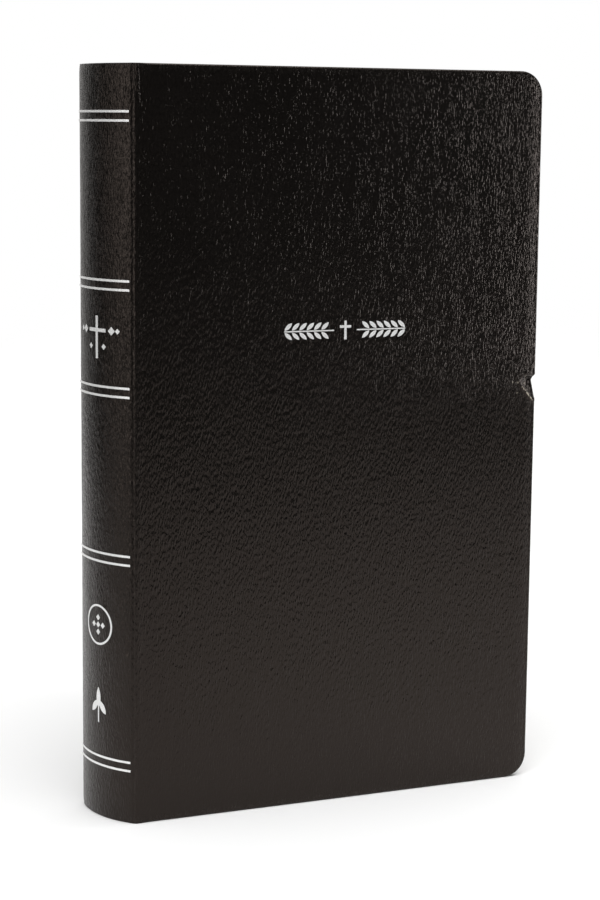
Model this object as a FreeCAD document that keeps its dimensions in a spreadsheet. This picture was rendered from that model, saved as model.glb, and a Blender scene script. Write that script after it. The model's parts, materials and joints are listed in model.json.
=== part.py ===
import FreeCAD, Part
import math
import os

import Sketcher

# A personal-size bible in a leather-look case, standing on its tail.
#
# The book is drawn closed in its own "book frame": the origin is the outer corner where the
# front cover meets the spine, at the tail. +X runs along the front cover to the fore edge,
# +Y runs through the thickness to the back cover, +Z runs up to the head.
# The front cover and the leaves behind it are then swung open about that corner by their
# share of the standing opening, and everything is moved so that the middle of the footprint
# is the origin of the part.

Vector = FreeCAD.Vector
Rotation = FreeCAD.Rotation
Placement = FreeCAD.Placement

doc = FreeCAD.newDocument("bible")

# ---------------------------------------------------------------- driving dimensions, mm

DRIVING = {
    # case
    "cover_height": 215.0,
    "cover_width": 127.8,
    "spine_chord": 26.1,
    "spine_bulge": 3.36,
    "cover_corner": 7.2,
    "skin_thick": 0.4,
    "board_thick": 1.4,
    "turn_in": 14.0,
    "joint_clearance": 0.4,
    "cover_start": 0.8,
    "board_setback": 4.5,
    "nick_top": 125.1,
    "nick_floor": 123.4,
    "nick_foot": 117.5,
    "nick_depth": 1.2,
    # endpapers
    "paste_thick": 0.15,
    "paste_margin": 4.0,
    "paste_corner": 3.5,
    "leaf_thick": 0.2,
    "leaf_gap": 0.2,
    # text block
    "head_square": 2.5,
    "fore_square": 3.0,
    "page_corner": 4.5,
    "map_thick": 0.8,
    "section_gap": 0.15,
    # spine linings
    "inlay_thick": 0.6,
    "spine_turn_in": 12.0,
    "lining_radius": 23.45,
    "thread_thick": 0.26,
    "mull_thick": 0.3,
    "liner_thick": 0.2,
    "lining_inset": 6.0,
    "band_bead": 0.75,
    "band_strip": 0.3,
    # foil
    "foil_thick": 0.08,
    "rule_height": 0.65,
    "rule_spacing": 2.5,
    "rule_inset": 1.3,
}
SECTION_COUNT = 14
STANDING_OPENING = 17.2

sheet = doc.addObject("Spreadsheet::Sheet", "dims")
for row, (alias, number) in enumerate(DRIVING.items(), start=1):
    sheet.set("A%d" % row, alias.replace("_", " "))
    sheet.set("B%d" % row, str(number))
    sheet.setAlias("B%d" % row, alias)
doc.recompute()


class Size:
    """A length that carries its number and the spreadsheet expression that gives it."""

    def __init__(self, number, text):
        self.number = float(number)
        self.text = text

    def joined(self, other, sign, number):
        return Size(number, "(%s %s %s)" % (self.text, sign, size(other).text))

    def __add__(self, other):
        return self.joined(other, "+", self.number + size(other).number)

    def __sub__(self, other):
        return self.joined(other, "-", self.number - size(other).number)

    def __mul__(self, other):
        return self.joined(other, "*", self.number * size(other).number)

    def __truediv__(self, other):
        return self.joined(other, "/", self.number / size(other).number)


def size(value):
    """Turn an alias or a plain number into a Size."""
    if isinstance(value, Size):
        return value
    if isinstance(value, str):
        return Size(sheet.get(value), "dims." + value)
    return Size(value, "%.6g" % value)


def bind(item, prop, value):
    """Tie a property to the spreadsheet."""
    item.setExpression(prop, size(value).text)


# ---------------------------------------------------------------- sizes worked out from them

height = size("cover_height")
width = size("cover_width")
chord = size("spine_chord")
bulge = size("spine_bulge")
skin = size("skin_thick")
board = size("board_thick")
paste = size("paste_thick")
foil = size("foil_thick")

case_thick = skin + board + skin
cover_thick = case_thick + paste

spine_radius = (chord * chord / 4 + bulge * bulge) / (bulge * 2)
spine_axis_x = spine_radius - bulge
spine_axis_y = chord / 2

lining_radius = size("lining_radius")

# The outermost fold of the text block, on its rounded back, settles how wide the pages are.
OUTER_FOLD_DEPTH = 3.0
outer_fold = chord.number / 2 - OUTER_FOLD_DEPTH
fold_x = spine_axis_x.number - math.sqrt(lining_radius.number ** 2 - outer_fold ** 2)
page_width = width - size("fore_square") - fold_x
page_height = height - size("head_square") * 2

footprint_x = (width.number - bulge.number) / 2
footprint_y = (chord.number - width.number * math.sin(math.radians(STANDING_OPENING))) / 2


def standing(share=0.0, start_y=0.0, start_x=0.0, start_z=0.0):
    """Where a piece of the closed book stands, swung open by its share about the front joint."""
    to_floor_origin = Placement(Vector(-footprint_x, -footprint_y, 0), Rotation())
    swing = Placement(Vector(), Rotation(Vector(0, 0, 1), -share * STANDING_OPENING))
    in_book = Placement(Vector(start_x, start_y, start_z), Rotation())
    return to_floor_origin * swing * in_book


subparts = []


def subpart(item, node, placement):
    """Name a finished piece and stand it in its place."""
    item.Label = node
    item.Placement = placement
    subparts.append(item)
    return item


# ---------------------------------------------------------------- flat pieces: outline and pad

def outline(sketch, corners):
    """Draw a closed outline of upright and level lines, with an arc at each rounded corner.

    corners holds (x, z, radius) in order round the outline; the radius is None where sharp.
    """
    count = len(corners)
    points = [Vector(size(x).number, size(z).number, 0) for x, z, radius in corners]
    radii = [size(radius).number if radius is not None else 0.0 for x, z, radius in corners]
    directions = []
    for index in range(count):
        step = points[(index + 1) % count] - points[index]
        directions.append(step.normalize())
    lines = []
    for index in range(count):
        after = (index + 1) % count
        begin = points[index] + directions[index] * radii[index]
        finish = points[after] - directions[index] * radii[after]
        lines.append(sketch.addGeometry(Part.LineSegment(begin, finish), False))
        level = abs(directions[index].y) < 0.5
        sketch.addConstraint(Sketcher.Constraint("Horizontal" if level else "Vertical", lines[-1]))
    for index in range(count):
        before = lines[index - 1]
        line = lines[index]
        radius = radii[index]
        if radius == 0.0:
            sketch.addConstraint(Sketcher.Constraint("Coincident", before, 2, line, 1))
            continue
        arrive = points[index] - directions[index - 1] * radius
        leave = points[index] + directions[index] * radius
        centre = arrive + directions[index] * radius
        middle = centre + (points[index] - centre).normalize() * radius
        arc = sketch.addGeometry(Part.Arc(arrive, middle, leave), False)
        turn = directions[index - 1].cross(directions[index]).z
        first = 1 if turn > 0 else 2
        sketch.addConstraint(Sketcher.Constraint("Tangent", before, 2, arc, first))
        sketch.addConstraint(Sketcher.Constraint("Tangent", arc, 3 - first, line, 1))
        number = sketch.addConstraint(Sketcher.Constraint("Radius", arc, radius))
        sketch.setExpression("Constraints[%d]" % number, size(corners[index][2]).text)
    for index in range(count):
        x, z, radius = corners[index]
        level = abs(directions[index].y) < 0.5
        kind = "DistanceY" if level else "DistanceX"
        place = size(z if level else x)
        if abs(place.number) < 1e-9:
            constraint = Sketcher.Constraint("PointOnObject", lines[index], 1, -1 if level else -2)
            sketch.addConstraint(constraint)
            continue
        constraint = Sketcher.Constraint(kind, -1, 1, lines[index], 1, place.number)
        number = sketch.addConstraint(constraint)
        sketch.setExpression("Constraints[%d]" % number, place.text)


def plane(body, role):
    """One of the body's own origin planes."""
    for feature in body.Origin.OriginFeatures:
        if feature.Role == role:
            return feature
    raise RuntimeError("no " + role)


def layer(body, corners, start_y, thickness):
    """Pad an outline from one depth in the body's thickness towards the back."""
    number = len(body.Group) + 1
    sketch = body.newObject("Sketcher::SketchObject", "%s_sketch_%d" % (body.Name, number))
    sketch.AttachmentSupport = (plane(body, "XZ_Plane"), [""])
    sketch.MapMode = "FlatFace"
    outline(sketch, corners)
    bind(sketch, "AttachmentOffset.Base.z", size(0) - start_y)
    pad = body.newObject("PartDesign::Pad", "%s_pad_%d" % (body.Name, number))
    pad.Profile = sketch
    pad.Reversed = True
    bind(pad, "Length", thickness)
    sketch.Visibility = False
    return pad


def sheet_corners(left, right, low, high, radius):
    """A sheet with square corners at the spine and rounded ones at the fore edge."""
    return [(left, low, None), (right, low, radius), (right, high, radius), (left, high, None)]


def band_corners(left, right, low, high, radius, depth, inner_radius):
    """A band along tail, fore edge and head, open at the spine side."""
    inner_right = size(right) - depth
    inner_low = size(low) + depth
    inner_high = size(high) - depth
    return [
        (left, low, None),
        (right, low, radius),
        (right, high, radius),
        (left, high, None),
        (left, inner_high, None),
        (inner_right, inner_high, inner_radius),
        (inner_right, inner_low, inner_radius),
        (left, inner_low, None),
    ]


def plate(node, corners, thickness, placement):
    """A flat piece of even thickness."""
    body = doc.addObject("PartDesign::Body", node + "_body")
    layer(body, corners, 0, thickness)
    return subpart(body, node, placement)


# ---------------------------------------------------------------- pieces round the spine

def box(name, x, y, z, length, breadth, tall):
    item = doc.addObject("Part::Box", name)
    bind(item, "Placement.Base.x", x)
    bind(item, "Placement.Base.y", y)
    bind(item, "Placement.Base.z", z)
    bind(item, "Length", length)
    bind(item, "Width", breadth)
    bind(item, "Height", tall)
    return item


def tube_wall(name, outer, inner, low, high):
    """A wall round the spine's axis, between two radii."""
    rounds = []
    for suffix, radius in (("outer", outer), ("inner", inner)):
        item = doc.addObject("Part::Cylinder", "%s_%s" % (name, suffix))
        bind(item, "Radius", radius)
        bind(item, "Height", size(high) - low)
        bind(item, "Placement.Base.x", spine_axis_x)
        bind(item, "Placement.Base.y", spine_axis_y)
        bind(item, "Placement.Base.z", low)
        rounds.append(item)
    return cut(name + "_wall", rounds[0], rounds[1])


SPINE_ROOM = 12


def spine_slot(name, inset, low, high, reach=8):
    """The block of space that holds the spine's curve, a little in from both joints.

    It reaches forward past the plane of the joints by the last length.
    """
    return box(
        name, size(0) - SPINE_ROOM, inset, low,
        size(reach) + SPINE_ROOM, chord - size(inset) * 2, size(high) - low)


def cut(name, base, tool):
    item = doc.addObject("Part::Cut", name)
    item.Base = base
    item.Tool = tool
    return item


def common(name, base, tool):
    item = doc.addObject("Part::Common", name)
    item.Base = base
    item.Tool = tool
    return item


def fuse(name, shapes):
    item = doc.addObject("Part::MultiFuse", name)
    item.Shapes = shapes
    return item


def spine_band(name, outer, inner, low, high, inset, reach=8):
    """A strip that follows the spine's curve."""
    return common(
        name,
        tube_wall(name, outer, inner, low, high),
        spine_slot(name + "_slot", inset, low, high, reach),
    )


# ---------------------------------------------------------------- case: skins, boards, inlay

def cover(side, placement, with_nick):
    """One cover: the skin with its turned-in edges, and the board inside it.

    Drawn with the outer face at depth zero.
    """
    left = size("cover_start")
    corner = size("cover_corner")
    full = sheet_corners(left, width, 0, height, corner)
    rim = band_corners(left, width, 0, height, corner, skin, corner - skin)
    turned = band_corners(left, width, 0, height, corner, size("turn_in"), None)
    board_outline = sheet_corners(
        size("board_setback"), width - skin, skin, height - skin, corner - skin)

    wrap = doc.addObject("PartDesign::Body", side + "_skin_body")
    layer(wrap, full, 0, skin)
    layer(wrap, rim, skin, board)
    layer(wrap, turned, skin + board, skin)

    panel = doc.addObject("PartDesign::Body", side + "_board_body")
    layer(panel, board_outline, 0, board)

    if with_nick:
        nick_pocket(wrap, width, size("nick_depth"))
        nick_pocket(panel, width - skin, size("nick_depth"))
    subpart(wrap, side + "_cover_skin", placement)
    outside_in = skin.number
    if side == "back":
        mirrored = placement * Placement(Vector(0, 0, height.number), Rotation(Vector(1, 0, 0), 180))
        wrap.Placement = mirrored
        outside_in = -skin.number - board.number
    subpart(panel, side + "_board", placement * Placement(Vector(0, outside_in, 0), Rotation()))


# How far the nick's cutting outline runs past the fore edge.
NICK_OVERCUT = 2.0


def nick_pocket(body, edge, depth):
    """A dent in the fore edge: a sharp step at its top that eases out downwards."""
    top = size("nick_top")
    floor = size("nick_floor")
    foot = size("nick_foot")
    points = [
        (edge + NICK_OVERCUT, top),
        (edge, top),
        (edge - depth, floor),
        (edge, foot),
        (edge + NICK_OVERCUT, foot),
    ]
    sketch = body.newObject("Sketcher::SketchObject", body.Name + "_nick_sketch")
    sketch.AttachmentSupport = (plane(body, "XZ_Plane"), [""])
    sketch.MapMode = "FlatFace"
    count = len(points)
    for index in range(count):
        here = points[index]
        there = points[(index + 1) % count]
        begin = Vector(here[0].number, here[1].number, 0)
        finish = Vector(there[0].number, there[1].number, 0)
        sketch.addGeometry(Part.LineSegment(begin, finish), False)
    for index in range(count):
        before = (index - 1) % count
        sketch.addConstraint(Sketcher.Constraint("Coincident", before, 2, index, 1))
        for kind, place in (("DistanceX", points[index][0]), ("DistanceY", points[index][1])):
            number = sketch.addConstraint(Sketcher.Constraint(kind, -1, 1, index, 1, place.number))
            sketch.setExpression("Constraints[%d]" % number, place.text)
    pocket = body.newObject("PartDesign::Pocket", body.Name + "_nick")
    pocket.Profile = sketch
    pocket.Midplane = True
    pocket.Type = "ThroughAll"
    sketch.Visibility = False


FRONT_SHARE = 1.0

cover("front", standing(FRONT_SHARE), with_nick=True)
cover("back", standing(start_y=chord.number), with_nick=False)

spine_clearance = size("joint_clearance")
inlay_outer = spine_radius - skin
inlay_inner = inlay_outer - size("inlay_thick")
case_inner = inlay_inner - skin

spine_wrap = spine_band(
    "spine_wrap", spine_radius, case_inner, 0, height, spine_clearance, spine_clearance)
inlay_space = tube_wall("inlay_space", inlay_outer, inlay_inner, skin, height - skin)

# The window between the turn-ins is cut a little past the leather it opens, on both faces.
WINDOW_OVERLAP = 0.05
WINDOW_OVERCUT = 1
lining_window = tube_wall(
    "lining_window", inlay_inner + WINDOW_OVERLAP, case_inner - WINDOW_OVERCUT,
    size("spine_turn_in"), height - size("spine_turn_in"))
spine_hollow = fuse("spine_hollow", [inlay_space, lining_window])
subpart(cut("spine_skin", spine_wrap, spine_hollow), "spine_cover_skin", standing())

INLAY_MARGIN = 1.2
inlay_inset = spine_clearance + INLAY_MARGIN
inlay = spine_band(
    "inlay", inlay_outer, inlay_inner, skin, height - skin, inlay_inset, spine_clearance)
subpart(inlay, "spine_inlay", standing())

# ---------------------------------------------------------------- endpapers

margin = size("paste_margin")
turn_in = size("turn_in")
paste_outer = sheet_corners(
    size("board_setback"), width - margin, margin, height - margin, size("paste_corner"))
paste_inner = sheet_corners(
    size("board_setback"), width - turn_in, turn_in, height - turn_in, None)


def pastedown(side, placement, facing):
    """A pastedown: it lies on the turned-in edges and sinks to the board between them."""
    body = doc.addObject("PartDesign::Body", side + "_pastedown_body")
    if facing > 0:
        layer(body, paste_inner, 0, skin + paste)
        layer(body, paste_outer, skin, paste)
    else:
        layer(body, paste_outer, 0, paste)
        layer(body, paste_inner, 0, skin + paste)
    subpart(body, side + "_pastedown", placement)


sunk = (skin + board).number
pastedown("front", standing(FRONT_SHARE) * Placement(Vector(0, sunk, 0), Rotation()), 1)
back_paste_y = chord.number - cover_thick.number
pastedown("back", standing(start_y=back_paste_y), -1)

page = sheet_corners(0, page_width, 0, page_height, size("page_corner"))


def fold_start(near_y, far_y):
    """How far in from the front joint a fold sits on the rounded back of the text block."""
    half_chord = max(abs(near_y - chord.number / 2), abs(far_y - chord.number / 2))
    return spine_axis_x.number - math.sqrt(lining_radius.number ** 2 - half_chord ** 2)


def page_stack(node, near_y, thickness, share):
    """A leaf or a section of leaves between two depths of the closed book."""
    far_y = near_y + size(thickness).number
    start_x = fold_start(near_y, far_y)
    start_z = size("head_square").number
    plate(node, page, thickness, standing(share, near_y, start_x, start_z))
    return far_y


# ---------------------------------------------------------------- leaves and sections

# The share of the front cover's swing that each leaf behind it takes.
FLYLEAF_SHARE = 0.75
TITLE_SHARE = 0.5
SECTION_SHARES = [0.32, 0.2, 0.12, 0.06]

gap = size("leaf_gap").number
leaf = size("leaf_thick")
depth = cover_thick.number + gap
depth = page_stack("front_flyleaf", depth, leaf, FLYLEAF_SHARE) + gap
depth = page_stack("title_leaf", depth, leaf, TITLE_SHARE) + gap

back_leaf_y = chord.number - cover_thick.number - gap - leaf.number
map_y = back_leaf_y - gap - size("map_thick").number
section_gap = size("section_gap").number
room = map_y - gap - depth
section_thick = (room - section_gap * (SECTION_COUNT - 1)) / SECTION_COUNT
for index in range(SECTION_COUNT):
    share = SECTION_SHARES[index] if index < len(SECTION_SHARES) else 0.0
    page_stack("section_%02d" % (index + 1), depth, section_thick, share)
    depth += section_thick + section_gap
page_stack("map_section", map_y, "map_thick", 0.0)
page_stack("back_flyleaf", back_leaf_y, leaf, 0.0)

# ---------------------------------------------------------------- linings of the text block

thread = size("thread_thick")
mull_inner = lining_radius + thread
mull_outer = mull_inner + size("mull_thick")
liner_outer = mull_outer + size("liner_thick")
lining_inset = cover_thick + size("leaf_gap") * 3 + leaf * 2
lining_low = size("head_square") + size("lining_inset")
lining_high = height - size("head_square") - size("lining_inset")

mull = spine_band("mull", mull_outer, mull_inner, lining_low, lining_high, lining_inset)
subpart(mull, "spine_mull", standing())
liner = spine_band("liner", liner_outer, mull_outer, lining_low, lining_high, lining_inset)
subpart(liner, "spine_liner", standing())


STRAND_ROOM = 3


def round_strand(name, reach, thickness, level):
    """A round strand that follows the back of the text block at one level."""
    item = doc.addObject("Part::Torus", name)
    bind(item, "Radius1", reach)
    bind(item, "Radius2", size(thickness) / 2)
    bind(item, "Placement.Base.x", spine_axis_x)
    bind(item, "Placement.Base.y", spine_axis_y)
    bind(item, "Placement.Base.z", level)
    slot = spine_slot(
        name + "_slot", lining_inset, size(level) - STRAND_ROOM, size(level) + STRAND_ROOM)
    return common(name + "_strand", item, slot)


SEWING_STATIONS = 5
station_step = (lining_high - lining_low) / SEWING_STATIONS
strands = []
for index in range(SEWING_STATIONS):
    level = lining_low + station_step * (index + 0.5)
    strand_reach = lining_radius + thread / 2
    strands.append(round_strand("sewing_%d" % (index + 1), strand_reach, thread, level))
sewing = doc.addObject("Part::Compound", "sewing")
sewing.Links = strands
subpart(sewing, "sewing_thread", standing())


# Glue under the bands, the gap between band and lining, and the bead's rise over the pages.
BAND_GLUE = 0.1
BAND_GAP = 0.2
BEAD_RISE = 0.3


def end_band(node, strip_low, strip_high, bead_level):
    """A headband: a woven strip glued to the folds with a round bead along its free edge."""
    strip_inner = lining_radius + BAND_GLUE
    strip = spine_band(
        node + "_strip", strip_inner + size("band_strip"), strip_inner,
        strip_low, strip_high, lining_inset)
    bead_reach = strip_inner + size("band_bead")
    bead = round_strand(node + "_bead", bead_reach, size("band_bead") * 2, bead_level)
    subpart(fuse(node + "_whole", [strip, bead]), node, standing())


block_head = height - size("head_square")
block_tail = size("head_square")
end_band("headband", lining_high + BAND_GAP, block_head, block_head + BEAD_RISE)
end_band("tailband", block_tail, lining_low - BAND_GAP, block_tail - BEAD_RISE)

# ---------------------------------------------------------------- foil on the front cover

def lens(name, centre_x, centre_y, level, long_axis, short_axis, tilt, outwards, depth_size):
    """A pointed leaf shape, as the overlap of two round discs whose axes point outwards."""
    half_long = long_axis / 2
    half_short = short_axis / 2
    radius = (half_long ** 2 + half_short ** 2) / (2 * half_short)
    along = Rotation(outwards, tilt)
    side = outwards.cross(Vector(0, 0, 1))
    discs = []
    for sign in (-1, 1):
        item = doc.addObject("Part::Cylinder", "%s_disc_%d" % (name, 1 if sign < 0 else 2))
        item.Radius = radius
        bind(item, "Height", depth_size)
        shift = along.multVec(side * (sign * (radius - half_short)))
        turn = Rotation(Vector(0, 0, 1), outwards)
        item.Placement = Placement(Vector(centre_x, centre_y, level) + shift, turn)
        discs.append(item)
    return common(name, discs[0], discs[1])


OUT_OF_FRONT = Vector(0, -1, 0)
ORNAMENT_X = 64.3
ORNAMENT_Z = 140.3
ORNAMENT_HEIGHT = 5.4
CROSS_BAR = 0.75
CROSS_ARM = 3.6
CROSS_ARM_RISE = 0.62
SPRAY_START = 3.6
SPRAY_END = 19.2
STEM_THICK = 0.36
LEAF_PAIRS = 6
LEAF_PITCH = 2.3
FIRST_LEAF = 2.85
LEAF_OFFSET = 1.35
LEAF_LONG = 3.1
LEAF_WIDE = 1.15
LEAF_TILT = 48.0


def front_box(name, x, z, long, tall):
    return box(name, x, size(0) - foil, z, long, foil, tall)


def front_ornament():
    """A small cross between two leafy sprays."""
    low = ORNAMENT_Z - ORNAMENT_HEIGHT / 2
    arm_z = low + ORNAMENT_HEIGHT * CROSS_ARM_RISE
    upright = front_box(
        "cross_upright", ORNAMENT_X - CROSS_BAR / 2, low, CROSS_BAR, ORNAMENT_HEIGHT)
    arm = front_box("cross_arm", ORNAMENT_X - CROSS_ARM / 2, arm_z, CROSS_ARM, CROSS_BAR)
    pieces = [fuse("front_cross", [upright, arm])]
    for side in (-1, 1):
        stem_x = ORNAMENT_X + (SPRAY_START if side > 0 else -SPRAY_END)
        stem = front_box(
            "stem_%d" % (side + 1), stem_x, ORNAMENT_Z - STEM_THICK / 2,
            SPRAY_END - SPRAY_START, STEM_THICK)
        spray = [stem]
        for index in range(LEAF_PAIRS):
            reach = SPRAY_START + FIRST_LEAF + LEAF_PITCH * index
            for rise in (-1, 1):
                spray.append(lens(
                    "leaf_%d_%d_%d" % (side + 1, index, rise + 1),
                    ORNAMENT_X + side * reach, 0.0, ORNAMENT_Z + rise * LEAF_OFFSET,
                    LEAF_LONG, LEAF_WIDE, side * rise * LEAF_TILT, OUT_OF_FRONT, foil))
        pieces.append(fuse("spray_%d" % (side + 1), spray))
    group = doc.addObject("Part::Compound", "front_foil")
    group.Links = pieces
    return group


subpart(front_ornament(), "front_foil_ornament", standing(FRONT_SHARE))

# ---------------------------------------------------------------- foil on the spine

RULE_LEVELS = [200.65, 154.25, 124.35, 76.7, 16.8]
OUT_OF_SPINE = Vector(-1, 0, 0)
MOTIF_REACH = 8.0
RULE_BACK_INSET = 0.5
RULE_BOX_START = 12
RULE_BOX_LENGTH = 20


def foil_wall(name, low, high):
    """The thin layer of foil on the spine's outer face."""
    return tube_wall(name, spine_radius + foil, spine_radius, low, high)


def spine_rules():
    """Pairs of fine rules across the spine."""
    boxes = []
    for index, level in enumerate(RULE_LEVELS):
        for side in (-1, 1):
            base = size("rule_spacing") * (side * 0.5) + level - size("rule_height") / 2
            boxes.append(box(
                "rule_%d_%d" % (index + 1, side + 1), size(0) - RULE_BOX_START,
                size("rule_inset"), base, RULE_BOX_LENGTH,
                chord - size("rule_inset") - RULE_BACK_INSET, size("rule_height")))
    return common("rules", foil_wall("rules", 0, height), fuse("rule_boxes", boxes))


def motif_box(name, across, level, breadth, tall):
    """A bar of a motif, seen from behind the spine: across is measured from its middle."""
    return box(name, size(0) - MOTIF_REACH, spine_axis_y + (across - breadth / 2),
               level - tall / 2, MOTIF_REACH, breadth, tall)


def lozenge(name, across, level, edge):
    """A square standing on its corner."""
    item = doc.addObject("Part::Box", name)
    item.Length = MOTIF_REACH
    item.Width = edge
    item.Height = edge
    turn = Rotation(Vector(1, 0, 0), 45)
    corner = turn.multVec(Vector(0, -edge / 2, -edge / 2))
    middle = Vector(-MOTIF_REACH, spine_axis_y.number + across, level)
    item.Placement = Placement(middle + corner, turn)
    return item


def spine_motif(node, shapes):
    wall = foil_wall(node, 0, height)
    subpart(common(node + "_foil", wall, fuse(node + "_shapes", shapes)), node, standing())


subpart(spine_rules(), "spine_foil_rules", standing())

UPPER_Z = 139.4
UPPER_TALL = 12.0
UPPER_BAR = 1.0
UPPER_ARM = 7.6
UPPER_ARM_RISE = 2.0
# Each lozenge beside the arm: how far out it stands, and its edge.
UPPER_LOZENGES = [(6.0, 1.7), (8.1, 1.1)]
UPPER_DOT = (3.0, -2.6, 1.2)

upper = [
    motif_box("upper_upright", 0.0, UPPER_Z, UPPER_BAR, UPPER_TALL),
    motif_box("upper_arm", 0.0, UPPER_Z + UPPER_ARM_RISE, UPPER_ARM, UPPER_BAR),
]
for side in (-1, 1):
    for index, (reach, edge) in enumerate(UPPER_LOZENGES):
        name = "upper_lozenge_%d_%d" % (side + 1, index)
        upper.append(lozenge(name, side * reach, UPPER_Z + UPPER_ARM_RISE, edge))
    across, rise, edge = UPPER_DOT
    upper.append(lozenge("upper_dot_%d" % (side + 1), side * across, UPPER_Z + rise, edge))
spine_motif("spine_foil_cross", upper)


def ring_motif(name, level, outer, inner):
    """A ring that faces out of the spine."""
    rounds = []
    for suffix, radius in (("outer", outer), ("inner", inner)):
        item = doc.addObject("Part::Cylinder", "%s_%s" % (name, suffix))
        item.Radius = radius
        item.Height = MOTIF_REACH
        middle = Vector(0, spine_axis_y.number, level)
        item.Placement = Placement(middle, Rotation(Vector(0, 0, 1), OUT_OF_SPINE))
        rounds.append(item)
    return cut(name, rounds[0], rounds[1])


EMBLEM_Z = 56.8
EMBLEM_OUTER = 5.9
EMBLEM_INNER = 5.3
EMBLEM_STEP = 2.1
EMBLEM_EDGE = 1.25

emblem = [ring_motif("emblem_ring", EMBLEM_Z, EMBLEM_OUTER, EMBLEM_INNER)]
for index, (across, rise) in enumerate(((0, 0), (1, 0), (-1, 0), (0, 1), (0, -1))):
    emblem.append(lozenge(
        "emblem_lozenge_%d" % (index + 1), across * EMBLEM_STEP,
        EMBLEM_Z + rise * EMBLEM_STEP, EMBLEM_EDGE))
spine_motif("spine_foil_emblem", emblem)

LEAF_Z = 33.6
SPRIG_STEM = (-3.1, 0.5, 5.0)
SPRIG_WIDE = 1.9
# Each leaf of the sprig: across, rise, tilt and length.
SPRIG_LEAVES = [(0.0, 1.7, 0.0, 6.2), (-1.8, -0.9, 38.0, 4.6), (1.8, -0.9, -38.0, 4.6)]

stem_rise, stem_wide, stem_tall = SPRIG_STEM
leaves = [motif_box("leaf_stem", 0.0, LEAF_Z + stem_rise, stem_wide, stem_tall)]
for index, (across, rise, tilt, long_axis) in enumerate(SPRIG_LEAVES):
    leaves.append(lens(
        "tail_leaf_%d" % index, 0.0, spine_axis_y.number + across, LEAF_Z + rise,
        long_axis, SPRIG_WIDE, tilt, OUT_OF_SPINE, size(MOTIF_REACH)))
spine_motif("spine_foil_leaf", leaves)

# ---------------------------------------------------------------- check and write

doc.recompute()
for item in doc.Objects:
    if "Invalid" in item.State or "Error" in item.State:
        raise RuntimeError("%s did not compute: %s" % (item.Label, item.State))
os.makedirs("parts", exist_ok=True)
for item in subparts:
    shape = item.Shape
    if shape.isNull() or not shape.isValid() or not shape.Solids:
        raise RuntimeError("%s has no valid solid" % item.Label)
    shape.exportStep(os.path.join("parts", item.Label + ".step"))
    print("%-22s solids %2d  volume %9.1f mm3" % (item.Label, len(shape.Solids), shape.Volume))
print("front joint in the part's frame: %.3f %.3f" % (-footprint_x, -footprint_y))
print("back joint in the part's frame: %.3f %.3f" % (-footprint_x, chord.number - footprint_y))
print("section thickness %.3f, page width %.2f" % (section_thick, page_width.number))
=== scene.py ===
import json
import math

import bmesh
import bpy
import numpy as np
from mathutils import Matrix, Vector


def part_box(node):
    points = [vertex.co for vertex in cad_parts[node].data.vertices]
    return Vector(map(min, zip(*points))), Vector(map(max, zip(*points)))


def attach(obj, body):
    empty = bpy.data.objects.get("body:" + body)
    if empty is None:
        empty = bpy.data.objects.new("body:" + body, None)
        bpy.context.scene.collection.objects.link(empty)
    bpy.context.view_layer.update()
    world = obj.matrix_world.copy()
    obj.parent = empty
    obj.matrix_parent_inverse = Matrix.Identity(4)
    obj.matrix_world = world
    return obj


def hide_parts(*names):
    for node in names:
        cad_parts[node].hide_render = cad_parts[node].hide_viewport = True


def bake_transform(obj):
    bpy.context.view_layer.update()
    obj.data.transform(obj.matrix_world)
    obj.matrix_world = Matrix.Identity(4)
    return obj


# A personal-size bible in a leather-look case, standing on its tail with the front cover ajar.
#
# Shapes are worked out in millimetres in the closed book's own frame: the origin is the outer
# corner between front cover and spine, at the tail; +X runs to the fore edge, +Y through the
# thickness to the back cover, +Z up to the head. to_frame() swings and moves them into place.

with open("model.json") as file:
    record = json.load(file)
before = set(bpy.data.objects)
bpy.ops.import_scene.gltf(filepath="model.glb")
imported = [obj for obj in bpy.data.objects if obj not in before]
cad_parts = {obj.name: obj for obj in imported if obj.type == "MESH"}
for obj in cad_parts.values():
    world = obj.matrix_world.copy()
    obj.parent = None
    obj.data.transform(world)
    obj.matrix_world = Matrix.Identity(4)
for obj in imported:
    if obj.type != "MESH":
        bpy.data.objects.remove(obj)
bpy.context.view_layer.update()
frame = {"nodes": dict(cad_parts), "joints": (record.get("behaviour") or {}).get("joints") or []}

MM = 0.001
scene = bpy.context.scene

# ------------ sizes, mm and degrees

hinges = {joint["name"]: joint for joint in frame["joints"]}
FRONT_JOINT = np.array(hinges["front_cover_hinge"]["pos_m"][:2]) / MM
BACK_JOINT = np.array(hinges["back_cover_hinge"]["pos_m"][:2]) / MM
OPENING = -hinges["front_cover_hinge"]["range_deg"][0]
CHORD = BACK_JOINT[1] - FRONT_JOINT[1]


def closed_box(node):
    """Corners of a CAD node that stands as in the closed book, in that book's millimetres."""
    low, high = (np.array(corner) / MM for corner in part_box(node))
    low[:2] -= FRONT_JOINT
    high[:2] -= FRONT_JOINT
    return low, high


WIDTH = closed_box("back_cover_skin")[1][0]
HEIGHT = closed_box("back_cover_skin")[1][2]
PAGE_LOW = closed_box("section_05")[0][2]
PAGE_HIGH = closed_box("section_05")[1][2]
PAGE_WIDTH = closed_box("section_05")[1][0] - closed_box("section_05")[0][0]
BULGE = -closed_box("spine_cover_skin")[0][0]

SPINE_RADIUS = (CHORD ** 2 / 4 + BULGE ** 2) / (BULGE * 2)
SPINE_CENTRE = np.array([SPINE_RADIUS - BULGE, CHORD / 2])
FRONT_ANGLE = math.atan2(-SPINE_CENTRE[1], -SPINE_CENTRE[0]) % (2 * math.pi)
SPINE_ARC = 2 * (FRONT_ANGLE - math.pi) * SPINE_RADIUS
FOLD_RADIUS = 23.45

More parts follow.
